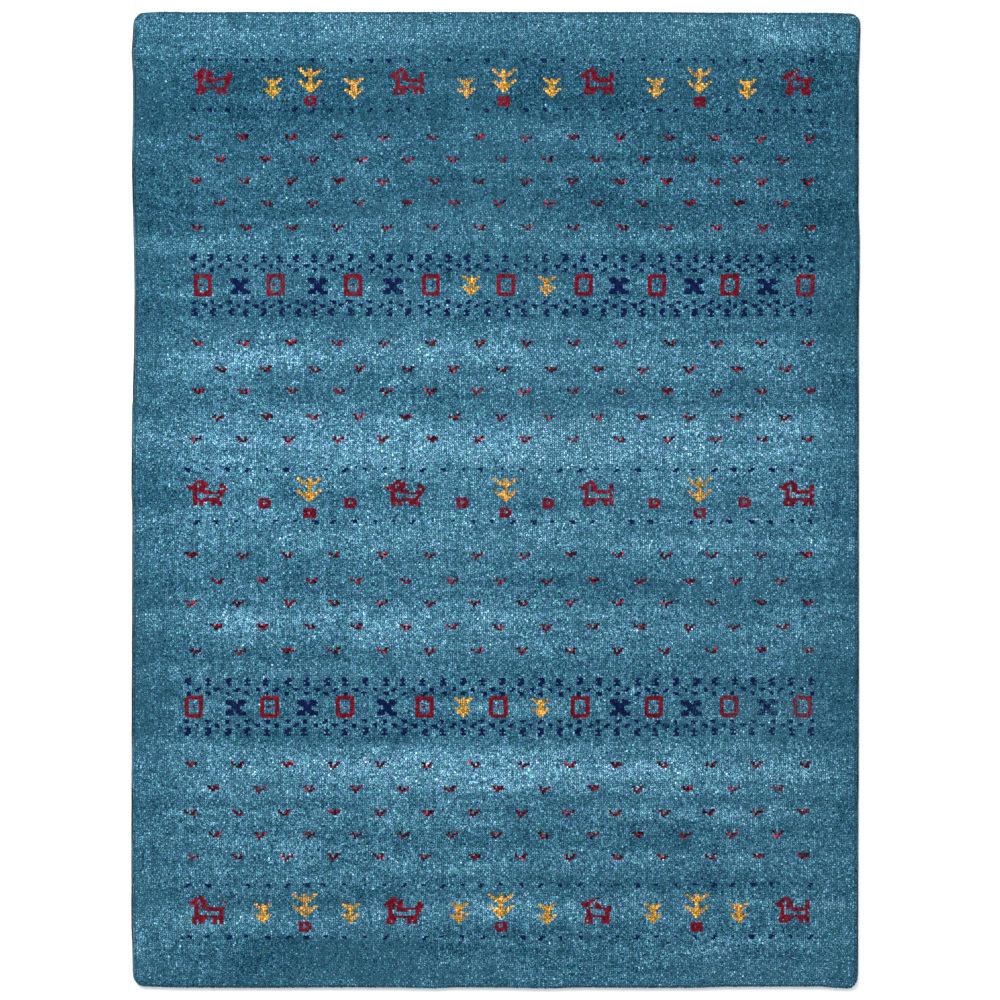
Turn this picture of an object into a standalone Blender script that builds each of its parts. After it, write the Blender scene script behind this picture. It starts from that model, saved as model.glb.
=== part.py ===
"""A hand-knotted wool rug lying flat on a floor.

Three pieces are modelled: the knotted rug, whose warps, wefts and cut pile are one
cloth, and the two overcast cords that bind its long sides.  The underside is flat.
The pile's edge leans out a little, and the pile's top is gently uneven.

The frame is in metres, with +X to the right, +Y to the top end and +Z up.  The
origin lies on the floor under the middle of the rug.
"""

import math

import bmesh
import bpy
from mathutils import Vector
from mathutils.geometry import delaunay_2d_cdt

# Whole rug
LENGTH = 2.000
WIDTH = 1.494
THICKNESS = 0.015

# Overcast side cords, which follow the first segments of each corner's arc
CORD_WIDTH = 0.0050
CORD_HEIGHT = 0.0040
CORD_SIDES = 8
CORD_CORNER_SEGMENTS = 2
GAP = 0.0003
# The share by which a cord thins between its wraps, and the phase from ring to ring
CORD_SWELL = 0.08
CORD_SWELL_TURN = 2.4

# Knotted cloth, without the cords
FOUNDATION_HEIGHT = 0.0045
PILE_LEAN = 0.0011
CORNER_RADIUS = 0.017
CORNER_SEGMENTS = 5
CLOTH_WIDTH = WIDTH - 2 * (CORD_WIDTH + GAP)
CLOTH_LENGTH = LENGTH - 2 * PILE_LEAN
EDGE_STEP = 0.034
TOP_STEP = 0.060
# Points of a side stay at least this far apart, and the top's points as far from the rim
EDGE_CLEAR = 0.011
TOP_CLEAR = 0.020
# Points nearer than this are one point when the top is divided into triangles
SAME_POINT = 1e-7
# Folds sharper than this stay crisp when the surface is smooth-shaded
CRISP_FOLD = math.radians(50)

# The rim from floor to pile top: distance out from the cloth's outline, and height
RIM_SECTION = (
    (0.0, 0.0),
    (0.0, FOUNDATION_HEIGHT),
    (PILE_LEAN, 0.0085),
    (-0.0002, 0.0126),
    (-0.0040, 0.0145),
    (-0.0095, THICKNESS),
)

# How the pile's height drifts over the rug: depth, waves per metre along X and Y, phase
PILE_DRIFT = (
    (0.00022, 0.61, 0.37, 0.4),
    (0.00016, -0.83, 1.21, 2.1),
    (0.00012, 1.70, 0.94, 4.3),
)
# The drift fades out over this distance from the rim
DRIFT_FADE = 0.040

# How far each side falls short of the straight rectangle: place along it, and inset
LEFT_INSETS = (
    (-1.000, 0.0030),
    (-0.942, 0.0024),
    (-0.864, 0.0000),
    (-0.512, 0.0006),
    (-0.204, 0.0014),
    (-0.012, 0.0018),
    (0.012, 0.0003),
    (0.185, 0.0012),
    (0.205, 0.0032),
    (0.318, 0.0054),
    (0.410, 0.0066),
    (0.533, 0.0049),
    (0.635, 0.0021),
    (0.707, 0.0014),
    (0.799, 0.0031),
    (0.871, 0.0028),
    (0.922, 0.0004),
    (0.963, 0.0032),
    (1.000, 0.0040),
)
RIGHT_INSETS = (
    (-1.000, 0.0050),
    (-0.940, 0.0049),
    (-0.720, 0.0046),
    (-0.410, 0.0033),
    (0.410, 0.0035),
    (0.460, 0.0017),
    (0.530, 0.0016),
    (0.600, 0.0038),
    (0.870, 0.0036),
    (0.920, 0.0016),
    (0.975, 0.0000),
    (1.000, 0.0000),
)
TOP_INSETS = (
    (-0.747, 0.0030),
    (-0.727, 0.0024),
    (-0.684, 0.0000),
    (-0.610, 0.0012),
    (-0.504, 0.0006),
    (0.275, 0.0008),
    (0.479, 0.0021),
    (0.684, 0.0025),
    (0.725, 0.0039),
    (0.747, 0.0045),
)
BOTTOM_INSETS = (
    (-0.747, 0.0060),
    (-0.708, 0.0040),
    (-0.657, 0.0023),
    (-0.483, 0.0016),
    (-0.319, 0.0025),
    (-0.200, 0.0021),
    (-0.131, 0.0004),
    (-0.084, 0.0026),
    (0.000, 0.0021),
    (0.117, 0.0003),
    (0.162, 0.0024),
    (0.275, 0.0017),
    (0.418, 0.0016),
    (0.469, 0.0037),
    (0.672, 0.0041),
    (0.692, 0.0020),
    (0.721, 0.0002),
    (0.747, 0.0000),
)

# Colours, as linear red, green and blue
PILE_BLUE = (0.055, 0.190, 0.305, 1.0)
CORD_GREY_BLUE = (0.075, 0.105, 0.135, 1.0)
WOOL_ROUGHNESS = 0.95


def clear_scene():
    """Remove every object of the open scene."""
    for thing in list(bpy.data.objects):
        bpy.data.objects.remove(thing, do_unlink=True)


def wool(name, colour):
    """A plain matt wool."""
    material = bpy.data.materials.new(name)
    material.use_nodes = True
    shader = material.node_tree.nodes["Principled BSDF"]
    shader.inputs["Base Color"].default_value = colour
    shader.inputs["Roughness"].default_value = WOOL_ROUGHNESS
    shader.inputs["Metallic"].default_value = 0.0
    material.diffuse_color = colour
    return material


def eased(rows, place):
    """The second column of rows at a place in the first, eased between rows."""
    if place <= rows[0][0]:
        return rows[0][1]
    for (start, before), (end, after) in zip(rows, rows[1:]):
        if place <= end:
            share = (place - start) / (end - start)
            return before + (after - before) * (1 - math.cos(math.pi * share)) / 2
    return rows[-1][1]


def settled(x, y):
    """Where a point of the straight rectangle lies once the rug's own edges wander."""
    side_inset = eased(LEFT_INSETS if x < 0 else RIGHT_INSETS, y)
    end_inset = eased(BOTTOM_INSETS if y < 0 else TOP_INSETS, x)
    return Vector((
        x * (1 - side_inset / (WIDTH / 2)),
        y * (1 - end_inset / (LENGTH / 2)),
    ))


def places_along(half_length, step, rows):
    """Even places between the two corners of a side, with the rows' own places added."""
    end = half_length - CORNER_RADIUS
    count = max(2, round(2 * end / step))
    even = [-end + 2 * end * i / count for i in range(count + 1)]
    own = [place for place, _ in rows if abs(place) < end - EDGE_CLEAR]
    kept = [p for p in even if all(abs(p - place) > EDGE_CLEAR for place in own)]
    return sorted(set(kept + own))


def cloth_loop():
    """The straight cloth's outline, anticlockwise from the bottom of the right side.

    Each item is a point and the direction that points straight out of it.
    """
    half_x = CLOTH_WIDTH / 2
    half_y = CLOTH_LENGTH / 2
    sides = (
        (0, places_along(half_y, EDGE_STEP, RIGHT_INSETS)),
        (1, places_along(half_x, EDGE_STEP, TOP_INSETS)[::-1]),
        (2, places_along(half_y, EDGE_STEP, LEFT_INSETS)[::-1]),
        (3, places_along(half_x, EDGE_STEP, BOTTOM_INSETS)),
    )
    loop = []
    for quarter, places in sides:
        out = Vector((math.cos(quarter * math.pi / 2), math.sin(quarter * math.pi / 2)))
        for place in places:
            if quarter % 2 == 0:
                point = Vector((out.x * half_x, place))
            else:
                point = Vector((place, out.y * half_y))
            loop.append((point, out))
        loop += corner_arc(quarter, half_x, half_y)
    return loop


def corner_arc(quarter, half_x, half_y):
    """The points inside the corner that follows a side, without the two it shares."""
    across = 1 if quarter in (0, 3) else -1
    along = 1 if quarter in (0, 1) else -1
    centre = Vector((across * (half_x - CORNER_RADIUS), along * (half_y - CORNER_RADIUS)))
    arc = []
    for i in range(1, CORNER_SEGMENTS):
        angle = (quarter + i / CORNER_SEGMENTS) * math.pi / 2
        out = Vector((math.cos(angle), math.sin(angle)))
        arc.append((centre + CORNER_RADIUS * out, out))
    return arc


def pile_drift(x, y):
    """How far the pile stands above or below its mean height."""
    return sum(
        depth * math.sin(2 * math.pi * (wave_x * x + wave_y * y) + phase)
        for depth, wave_x, wave_y, phase in PILE_DRIFT
    )


def distance_inside(x, y):
    """How far a point lies inside the straight cloth's sides."""
    return min(CLOTH_WIDTH / 2 - abs(x), CLOTH_LENGTH / 2 - abs(y))


def pile_top(x, y):
    """Height of the pile's top, which drifts away from the rim."""
    inset = -RIM_SECTION[-1][0]
    share = min(1.0, max(0.0, (distance_inside(x, y) - inset) / DRIFT_FADE))
    highest = sum(depth for depth, *_ in PILE_DRIFT)
    return THICKNESS + share * (pile_drift(x, y) - highest)


def top_lattice():
    """Points of the pile's top, clear of the rim."""
    margin = TOP_CLEAR - RIM_SECTION[-1][0]
    half_x = CLOTH_WIDTH / 2 - margin
    half_y = CLOTH_LENGTH / 2 - margin
    count_x = round(2 * half_x / TOP_STEP)
    count_y = round(2 * half_y / TOP_STEP)
    return [
        Vector((half_x * (2 * i / count_x - 1), half_y * (2 * j / count_y - 1)))
        for j in range(count_y + 1)
        for i in range(count_x + 1)
    ]


def object_from(name, shape, material):
    """A named, smooth-shaded object in the scene from a bmesh."""
    bmesh.ops.recalc_face_normals(shape, faces=shape.faces)
    mesh = bpy.data.meshes.new(name)
    shape.to_mesh(mesh)
    shape.free()
    mesh.materials.append(material)
    mesh.shade_smooth()
    mesh.set_sharp_from_angle(angle=CRISP_FOLD)
    thing = bpy.data.objects.new(name, mesh)
    bpy.context.scene.collection.objects.link(thing)
    return thing


def knotted_cloth():
    """The knotted rug: a flat underside, the rim's section and the uneven pile top."""
    loop = cloth_loop()
    shape = bmesh.new()
    rings = []
    for out_by, height in RIM_SECTION:
        ring = []
        for point, out in loop:
            at = settled(*(point + out * out_by))
            ring.append(shape.verts.new((at.x, at.y, height)))
        rings.append(ring)
    count = len(loop)
    for lower, upper in zip(rings, rings[1:]):
        for i in range(count):
            j = (i + 1) % count
            shape.faces.new((lower[i], lower[j], upper[j], upper[i]))
    shape.faces.new(rings[0][::-1])

    rim = [point + out * RIM_SECTION[-1][0] for point, out in loop]
    flat_points = rim + top_lattice()
    rim_edges = [(i, (i + 1) % count) for i in range(count)]
    _, _, triangles, _, _, _ = delaunay_2d_cdt(flat_points, rim_edges, [], 1, SAME_POINT)
    top = list(rings[-1])
    for point in flat_points[count:]:
        at = settled(*point)
        top.append(shape.verts.new((at.x, at.y, pile_top(*point))))
    for triangle in triangles:
        shape.faces.new([top[i] for i in triangle])
    return object_from("knotted_rug", shape, wool("blue_wool_pile", PILE_BLUE))


def cord_path(side):
    """The points of the straight cloth's edge that a side cord follows.

    side is -1 for the left cord and 1 for the right.  Each point comes with the
    direction that points straight out of it, and each end turns a little way round
    the cloth's corner.
    """
    half_x = CLOTH_WIDTH / 2
    half_y = CLOTH_LENGTH / 2
    rows = LEFT_INSETS if side < 0 else RIGHT_INSETS
    out = Vector((side, 0.0))
    straight = [(Vector((side * half_x, y)), out) for y in places_along(half_y, EDGE_STEP, rows)]
    corner = Vector((side * (half_x - CORNER_RADIUS), half_y - CORNER_RADIUS))
    head = []
    for i in range(1, CORD_CORNER_SEGMENTS + 1):
        angle = math.pi / 2 * i / CORNER_SEGMENTS
        out = Vector((side * math.cos(angle), math.sin(angle)))
        head.append((corner + CORNER_RADIUS * out, out))
    foot = [(Vector((p.x, -p.y)), Vector((o.x, -o.y))) for p, o in reversed(head)]
    return foot + straight + head


def cord_section(swell):
    """A cord's section with a flat foot: distance out from the cloth, and height."""
    to_flat = math.cos(math.pi / CORD_SIDES)
    points = []
    for i in range(CORD_SIDES):
        angle = 2 * math.pi * (i + 0.5) / CORD_SIDES
        across = (1 + math.cos(angle) / to_flat) / 2
        height = (1 + math.sin(angle) / to_flat) / 2
        points.append((GAP + across * CORD_WIDTH * swell, height * CORD_HEIGHT * swell))
    return points


def side_cord(name, side, material):
    """An overcast cord beside the cloth, swelling and thinning along its wraps."""
    shape = bmesh.new()
    rings = []
    for i, (point, out) in enumerate(cord_path(side)):
        swell = 1 - CORD_SWELL * (1 + math.sin(i * CORD_SWELL_TURN)) / 2
        ring = []
        for out_by, height in cord_section(swell):
            at = settled(*(point + out * out_by))
            ring.append(shape.verts.new((at.x, at.y, height)))
        rings.append(ring)
    for lower, upper in zip(rings, rings[1:]):
        for i in range(CORD_SIDES):
            j = (i + 1) % CORD_SIDES
            shape.faces.new((lower[i], lower[j], upper[j], upper[i]))
    shape.faces.new(rings[0][::-1])
    shape.faces.new(rings[-1])
    return object_from(name, shape, material)


def centre_on_floor(things):
    """Shift all the pieces alike, so that their common box is centred on the origin."""
    corners = [vertex.co for thing in things for vertex in thing.data.vertices]
    middle_x = (min(c.x for c in corners) + max(c.x for c in corners)) / 2
    middle_y = (min(c.y for c in corners) + max(c.y for c in corners)) / 2
    floor = min(c.z for c in corners)
    for thing in things:
        for vertex in thing.data.vertices:
            vertex.co -= Vector((middle_x, middle_y, floor))


def build():
    clear_scene()
    cord_wool = wool("grey_blue_wool_wraps", CORD_GREY_BLUE)
    centre_on_floor([
        knotted_cloth(),
        side_cord("selvedge_left", -1, cord_wool),
        side_cord("selvedge_right", 1, cord_wool),
    ])


build()
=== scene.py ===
"""Looks of a hand-knotted wool rug: its cut pile knot by knot, its figures, its shaded
blues, its overcast sides and its woven back.

Sizes are in metres, and those in knots, pixels or shares say so.  Rows of knots are
counted from the rug's top end and columns from its left side.
"""

import math

import bpy
import numpy as np
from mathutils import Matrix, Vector


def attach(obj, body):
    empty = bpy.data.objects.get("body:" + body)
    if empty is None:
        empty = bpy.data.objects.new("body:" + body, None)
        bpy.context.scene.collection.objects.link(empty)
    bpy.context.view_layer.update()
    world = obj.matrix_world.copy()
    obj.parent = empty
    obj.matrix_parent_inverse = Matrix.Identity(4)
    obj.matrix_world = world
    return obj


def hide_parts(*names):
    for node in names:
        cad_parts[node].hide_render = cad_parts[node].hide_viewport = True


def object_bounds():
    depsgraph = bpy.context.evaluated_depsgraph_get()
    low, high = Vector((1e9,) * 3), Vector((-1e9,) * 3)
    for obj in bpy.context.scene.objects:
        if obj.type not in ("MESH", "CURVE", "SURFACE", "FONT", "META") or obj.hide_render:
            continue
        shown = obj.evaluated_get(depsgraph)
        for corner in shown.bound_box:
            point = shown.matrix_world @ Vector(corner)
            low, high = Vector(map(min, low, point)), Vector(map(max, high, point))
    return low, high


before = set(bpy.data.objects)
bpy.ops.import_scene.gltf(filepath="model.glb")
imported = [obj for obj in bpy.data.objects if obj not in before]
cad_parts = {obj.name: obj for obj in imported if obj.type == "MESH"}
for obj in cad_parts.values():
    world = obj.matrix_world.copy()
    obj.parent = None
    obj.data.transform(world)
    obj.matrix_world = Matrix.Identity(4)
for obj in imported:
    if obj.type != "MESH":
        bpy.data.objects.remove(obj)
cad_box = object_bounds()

# The knotting
KNOTS_ACROSS = 354
KNOT_ROWS = 488
PILE_PIECES = 4

# Cut pile: one four-sided tuft to each knot, and how far its top lies under the solids' box
TUFT_DEPTH = 0.0026
TUFT_HEIGHT_SPREAD = 0.00045
TUFT_FOOT_SPREAD = 0.00025
PILE_UNDER_BOX = 0.0004
TUFT_FACES = ((0, 1, 4), (1, 2, 4), (2, 3, 4), (3, 0, 4))
POINTS_PER_TUFT = 5

# A tuft's reach each way, how far its tip strays and how it lies over, in shares of a knot
TUFT_OVERLAP_ALONG = 0.62
TUFT_OVERLAP_ACROSS = 0.54
FIGURE_TUFT_SPREAD = 1.20
TIP_STRAY_ACROSS = 0.45
TIP_STRAY_ALONG = 0.54
PILE_LAY = (0.05, -0.30)

# Painted shade at a tuft's deep foot, painted highlight at its tip, and powers for red, green and
# blue
DEEP_SHADE = 0.42
TIP_HIGHLIGHT = 1.48
SHADE_POWERS = (1.50, 1.00, 0.88)

# How much the tufts of one yarn differ in shade, and how strongly painted fibre highlights and shade
# fleck them
FIELD_SHADES = 0.36
CORNER_SHADES = 0.50
FIGURE_SHADES = 0.22
OCHRE_SHADES = 0.34
SPRIG_SHADES = 0.55
GREEN_SHADES = 0.10
FIELD_FLECKS = 1.0
FIGURE_FLECKS = 0.30
OCHRE_FLECKS = 0.60
SPRIG_FLECKS = 0.80

# Rim of the pile, from the foundation's edge up to the top: distance out and height
RIM_LAYERS = (
    (0.0004, 0.0056),
    (0.0009, 0.0078),
    (0.0007, 0.0100),
    (0.0000, 0.0121),
)
# A strand of the rim: its root is set back, and its tip reaches out and a little up
RIM_STRAND_STEP = 0.0041
RIM_STRAND_SHIFT = 0.30 * RIM_STRAND_STEP
RIM_STRAND_HALF_WIDTH = 0.62 * RIM_STRAND_STEP
RIM_STRAND_HALF_HEIGHT = 0.0015
RIM_ROOT_DEPTH = 0.0012
RIM_STRAND_REACH = 0.0014
RIM_REACH_SHARES = (0.7, 1.25)
RIM_TIP_OUT = 0.0006
RIM_TIP_STRAY = 0.0006
RIM_TIP_RISE = 0.0006
RIM_TIP_SPREAD = 0.0005

# The pile near its edge: how far in it rounds off, drops and leans out
BORDER_KNOTS = 6
RIM_ROUND = 0.0095
RIM_DROP = 0.0030
RIM_LEAN = 0.0016
RIM_STEEPEST = 1.2
EDGE_MARGIN = 0.0004

# The cloth under the tufts: drawn in all round, but hardly near the middle lines, with its
# top a share of a tuft's depth below the solid's
FOUNDATION_TOP = 0.0045
CLOTH_SHRINK = 0.0006
NEAR_MIDDLE = 0.1
CLOTH_TOP_SHARE = 0.85
BACK_LIFT = 0.0002

# Overcast sides, with the share by which a cord thins between wraps and is left at its ends
WRAP_PITCH = 0.0027
WRAP_RINGS = 3
WRAP_SIDES = 10
WRAP_SLANT = 0.0016
WRAP_DIP = 0.14
TAPER = 0.022
TAPER_END = 0.30
CORD_WIDTH = 0.0050
CORD_HEIGHT = 0.0040
CORD_GAP = 0.0003
LUMP_LIMITS = (0.8, 1.12)

# Reading the solid's outline: the foot's height, and how squarely an edge faces its side
FOOT_HEIGHT = 1e-5
SQUARE_ON = 0.9
CORD_FACING = 0.80
CORD_STEP = 0.004
POINTS_AT_ONCE = 2000

# Soft noises: strength, cell across, cell along and seed.  They are read from a lattice
# that repeats after some cells, from far inside it so that no index is negative
LATTICE_CELLS = 256
LATTICE_START = 1000.0
BAND_WANDER = (0.008, 0.16, 0.10, 1)
STREAKS = (0.50, 0.45, 0.014, 2)
BROAD_MOTTLE = (0.30, 0.10, 0.035, 3)
FINE_MOTTLE = (0.30, 0.035, 0.020, 4)
RIBS = (0.30, 0.0060, 0.080, 5)
PILE_SWELL = (0.0003, 0.09, 0.06, 7)
COLUMN_WANDER = (0.0013, 0.016, 0.050, 8)
ROW_WANDER = (0.0013, 0.050, 0.016, 9)
CORD_LUMPS = (0.10, 0.030, 1, 11)
WRAP_LUMPS = (0.05, 0.0027, 1, 12)
PATCH_WANDER_ACROSS = (0.03, 0.05, 0.05, 13)
PATCH_WANDER_ALONG = (0.012, 0.07, 0.05, 14)

# Yarn colours, as linear red, green and blue
BLUE_TONES = (
    (-1.6, (0.0095, 0.059, 0.100)),
    (-0.8, (0.0175, 0.087, 0.142)),
    (0.0, (0.0300, 0.124, 0.194)),
    (0.8, (0.0490, 0.175, 0.262)),
    (1.6, (0.0780, 0.240, 0.348)),
)
RED_YARN = (0.105, 0.0058, 0.0150)
MAROON_YARN = (0.058, 0.0060, 0.0130)
NAVY_YARN = (0.0030, 0.0085, 0.0500)
OCHRE_YARN = (0.405, 0.240, 0.0380)
FIELD, RED, MAROON, NAVY, OCHRE = range(5)

# Wool and its fibres: noise scales are cells to the metre, and a bump is its strength and
# its depth
WOOL_ROUGHNESS = 0.95
WOOL_SPECULAR = 0.03
PILE_SHEEN = 0.02
PILE_SHEEN_ROUGHNESS = 0.5
PILE_FIBRES = 560
PILE_FIBRE_STRETCH = (1, 0.8, 0.3)
PILE_BUMP = (0.5, 0.0006)
# Flecks of the pile run from painted shade in the pits between fibres to painted highlights on fibre
# ends
FLECK_SPAN = 0.13
FLECK_PIT_SHADE = (0.01, 0.06, 0.10, 1)
FLECK_HIGHLIGHT = (2.9, 2.5, 2.4, 1)
UNFLECKED = (1, 1, 1, 1)
ROOT_FIBRES = 500
ROOT_BUMP = (0.6, 0.0008)
# The roots are darker than the field's blue: painted shade deep in the pile between the tufts
ROOTS_DARK = (0.014, 0.055, 0.085, 1)
ROOTS_LIGHT = (0.030, 0.105, 0.155, 1)

# The woven back: knot loops between sunken wefts, with widths in shares of a knot
BACK_KNOT_PITCH = 0.0042
BACK_KNOT_HALF = 0.46
WEFT_SHARE = 0.12
WEFT_SOFTNESS = 0.6
KNOT_BACK_DARK = (0.052, 0.170, 0.250, 1)
KNOT_BACK_LIGHT = (0.075, 0.210, 0.300, 1)
WEFT_COLOUR = (0.30, 0.27, 0.22, 1)
BACK_STREAKS = 14
BACK_STREAK_STRETCH = (0.3, 3, 1)
BACK_STREAK_SHADES = (0.75, 1.2)
BACK_BUMP = (0.8, 0.0006)

# Wound wool of each side: its change of colour, its fibres, and dark, middling and pale
CORD_CHANGE = 9
CORD_FIBRES = 1400
CORD_FIBRE_STRETCH = (0.4, 1, 1)
CORD_FIBRE_SHADES = (0.7, 1.35)
CORD_BUMP = (0.5, 0.0003)
CORD_STOPS = (0.40, 0.50, 0.60)
LEFT_SELVEDGE = ((0.020, 0.034, 0.046), (0.070, 0.075, 0.072), (0.080, 0.150, 0.200))
RIGHT_SELVEDGE = ((0.018, 0.052, 0.074), (0.035, 0.100, 0.140), (0.070, 0.160, 0.215))

# Floor, light and camera.  The photograph is a square, with the rug's middle in this column
FLOOR_HALF = 6.0
FLOOR_WHITE = (0.95, 0.95, 0.95, 1)
SKY_STRENGTH = 0.95
LAMP_SIDE = 2.2
LAMP_POWER = 190
LAMP_PLACE = (-1.8, 2.0, 4.2)
METRES_PER_PIXEL = 0.002048
PHOTO_PIXELS = 1000
RUG_MIDDLE_PIXEL = 495.9
CAMERA_HEIGHT = 14.0
CAMERA_REACH = 60
SENSOR_WIDTH = 36

# How strongly the bands below show, and how they slope towards the bottom end: the slope,
# where it starts, how soon it is full and about which place across it turns
BAND_STRENGTH = 1.5
BAND_SLOPE = 0.045
SLOPE_START = -0.50
SLOPE_REACH = 0.4
SLOPE_TURN = -0.2

# The darker margins of the long sides: how dark, where they start and where they fade out
MARGIN_TONE = 0.75
MARGIN_START = 0.61
MARGIN_REACH = 0.10
MARGIN_END = 0.9
MARGIN_FADE = 0.3

# Bands of the field, partly abrash in the dye and partly painted shade of the pile's lay and
# ripples: distance from the top end, and tone
ABRASH_AND_LAY_SHADE = (
    (0.000, 0.00),
    (0.035, 0.25),
    (0.075, 0.00),
    (0.100, -0.45),
    (0.180, -0.75),
    (0.215, -0.65),
    (0.260, -0.35),
    (0.345, -0.25),
    (0.385, -0.40),
    (0.435, -0.30),
    (0.465, 0.05),
    (0.487, -0.20),
    (0.630, -0.10),
    (0.660, 0.20),
    (0.710, 0.35),
    (0.765, 0.15),
    (0.795, 0.05),
    (0.845, 0.55),
    (0.895, 0.65),
    (0.940, 0.30),
    (1.000, 0.05),
    (1.050, 0.30),
    (1.100, 0.40),
    (1.155, 0.10),
    (1.170, -0.15),
    (1.205, 0.25),
    (1.245, 0.45),
    (1.295, 0.30),
    (1.325, 0.00),
    (1.440, 0.00),
    (1.480, -0.15),
    (1.520, 0.50),
    (1.585, 0.60),
    (1.620, 0.10),
    (1.645, 0.30),
    (1.715, -0.05),
    (1.757, 0.30),
    (1.808, -0.20),
    (1.850, 0.35),
    (1.910, -0.25),
    (1.950, 0.00),
    (1.972, -0.30),
    (2.000, -0.10),
)

# How crisp the edges of the patches below are
PATCH_EDGE = 2.5

# Light and dark patches of the field: middle, half width, half length and tone
PATCHES = (
    ((0.56, 0.96), 0.07, 0.030, 0.9),
    ((-0.23, 0.96), 0.09, 0.025, 0.7),
    ((0.18, 0.64), 0.25, 0.080, -0.4),
    ((0.57, 0.57), 0.15, 0.250, -0.3),
    ((-0.67, 0.52), 0.09, 0.020, 0.8),
    ((-0.54, 0.28), 0.08, 0.050, 0.6),
    ((-0.11, 0.31), 0.30, 0.025, 0.4),
    ((0.11, 0.10), 0.33, 0.028, 1.0),
    ((0.28, -0.16), 0.14, 0.030, -0.5),
    ((-0.55, -0.26), 0.05, 0.030, 0.9),
    ((-0.22, -0.26), 0.08, 0.030, 0.9),
    ((-0.01, -0.25), 0.10, 0.025, 0.5),
    ((-0.10, -0.55), 0.28, 0.028, 1.1),
    ((0.36, -0.55), 0.07, 0.020, 0.6),
    ((-0.34, -0.92), 0.20, 0.050, -0.9),
    ((0.44, -0.91), 0.15, 0.020, 0.5),
)

# Figures, charted one by one: a hash is one knot
GOAT_CURLED = (
    "...###.............",
    "..####.##..........",
    ".####.###.......##.",
    "#####.###.......###",
    "#.###.##.......####",
    "..###.############.",
    "..##..#####....###.",
    "..##...........##..",
    "..###..........##..",
    "..##############...",
    ".#####.....#####...",
    ".##.##.....##.##...",
    ".####......##.##...",
)
GOAT_ROUND = (
    ".....##...........",
    "...#####..........",
    "..###.###......##.",
    "####..###......##.",
    ".####.###......##.",
    "...##.###########.",
    "...##...########..",
    "...##..........##.",
    "...##..........##.",
    "...#############..",
    "..#######..######.",
    "..##.###....##.##.",
    "..#####.....##.##.",
)
GOAT_TALL = (
    ".....###............",
    "....######..........",
    "...##..####.....##..",
    "#####.####......###.",
    ".########.........##",
    "...#########...####.",
    "...##...##########..",
    "...##...........##..",
    "...##..........##...",
    "...###..########....",
    "...#############....",
    "...##.##....#####...",
    "...##.##....##.##...",
)
GOAT_LOOPED = (
    ".....##............",
    "...#####...........",
    "..###.###.......#..",
    "####..###........##",
    ".####.###..........",
    "...##.###..........",
    "...###.###########.",
    "...##...#########..",
    "...##..........##..",
    "...##..........##..",
    "...##############..",
    "..#######...#####..",
    "..##.###....##.##..",
    "..##.##.....##.##..",
)
GOAT_SHORT = (
    ".......##.......",
    "....###.........",
    "..####.#........",
    "#####..##.......",
    ".###...###...##.",
    "....##.########.",
    "...##......####.",
    "...##.......##..",
    "...###......##..",
    "...###########..",
    "..####....####..",
    "..#.##....#####.",
    "..####....####..",
)
TREE = (
    "##...##...##",
    ".##..##..##.",
    "..########..",
    "...######...",
    ".....##.....",
    ".....##.....",
    "##...##...##",
    ".##.####.##.",
    "..########..",
    "...######...",
    "....####....",
    ".....##.....",
)
SAPLING = (
    "##..#..##",
    ".#######.",
    "..#####..",
    "...###...",
    "...###...",
    "##.###.##",
    ".#######.",
    "..#####..",
    "...###...",
    "....#....",
)
SQUARE = (
    "#####.",
    "##.###",
    "##..##",
    "######",
    "#####.",
)
SQUARE_ROUND = (
    ".#####",
    "##..##",
    "##..##",
    "######",
    ".###.#",
)
SQUARE_FULL = (
    "######",
    "######",
    "##.###",
    "######",
    "######",
)
FRAME_HEAVY = (
    "#########",
    "#########",
    "###...###",
    "##.....##",
    "##.....##",
    "##.##..##",
    "##.....##",
    "##.....##",
    "###...###",
    "#########",
    "#########",
)
FRAME_LIGHT = (
    ".########",
    "#########",
    "##.....##",
    "##.....##",
    "##.....##",
    "##..#..##",
    "##.....##",
    "##.....##",
    "##.....##",
    "#########",
    ".#######.",
)
FLOWER = (
    "####..###.",
    "#####.####",
    ".########.",
    "...####...",
    "...####...",
    ".#######..",
    "####.#####",
    "####..####",
)
SPRIGS = (
    (
        "##..##",
        ".#.##.",
        ".###..",
        "..#...",
    ),
    (
        "#...##",
        "##.##.",
        "..###.",
    ),
    (
        "##.###",
        ".#####",
        "..##..",
    ),
    (
        ".#...#",
        "##.###",
        "..##..",
        "..#...",
    ),
    (
        "##..#.",
        ".##.##",
        "..###.",
    ),
)
DOTS = (
    ("##", "##"),
    ("###", ".##"),
    (".##", "##."),
    ("##", ".#"),
    ("###", ".#."),
)
FAINT_DOTS = (
    ("##",),
    ("##", ".#"),
    ("###", ".##"),
    ("#",),
    (".##", "##."),
)
PAIRED_DOTS = (
    (".##", "###", "##.", ".##"),
    ("##.", "###", ".#.", "###"),
    (".##", "##.", ".##", "###"),
    ("###", ".##", "###", "##."),
    (".#.", "###", ".#.", "###"),
)

# Rows of dots: the column of the first dot, and stretches of dots with their own pitch
UPPER_DOTS = (28.9, ((8, 8.36), (17, 9.56), (9, 8.07)))
LOWER_DOTS = (26.6, ((16, 9.62), (16, 9.43)))
SPARSE_DOTS = (30.2, ((31, 9.70),))

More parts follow.
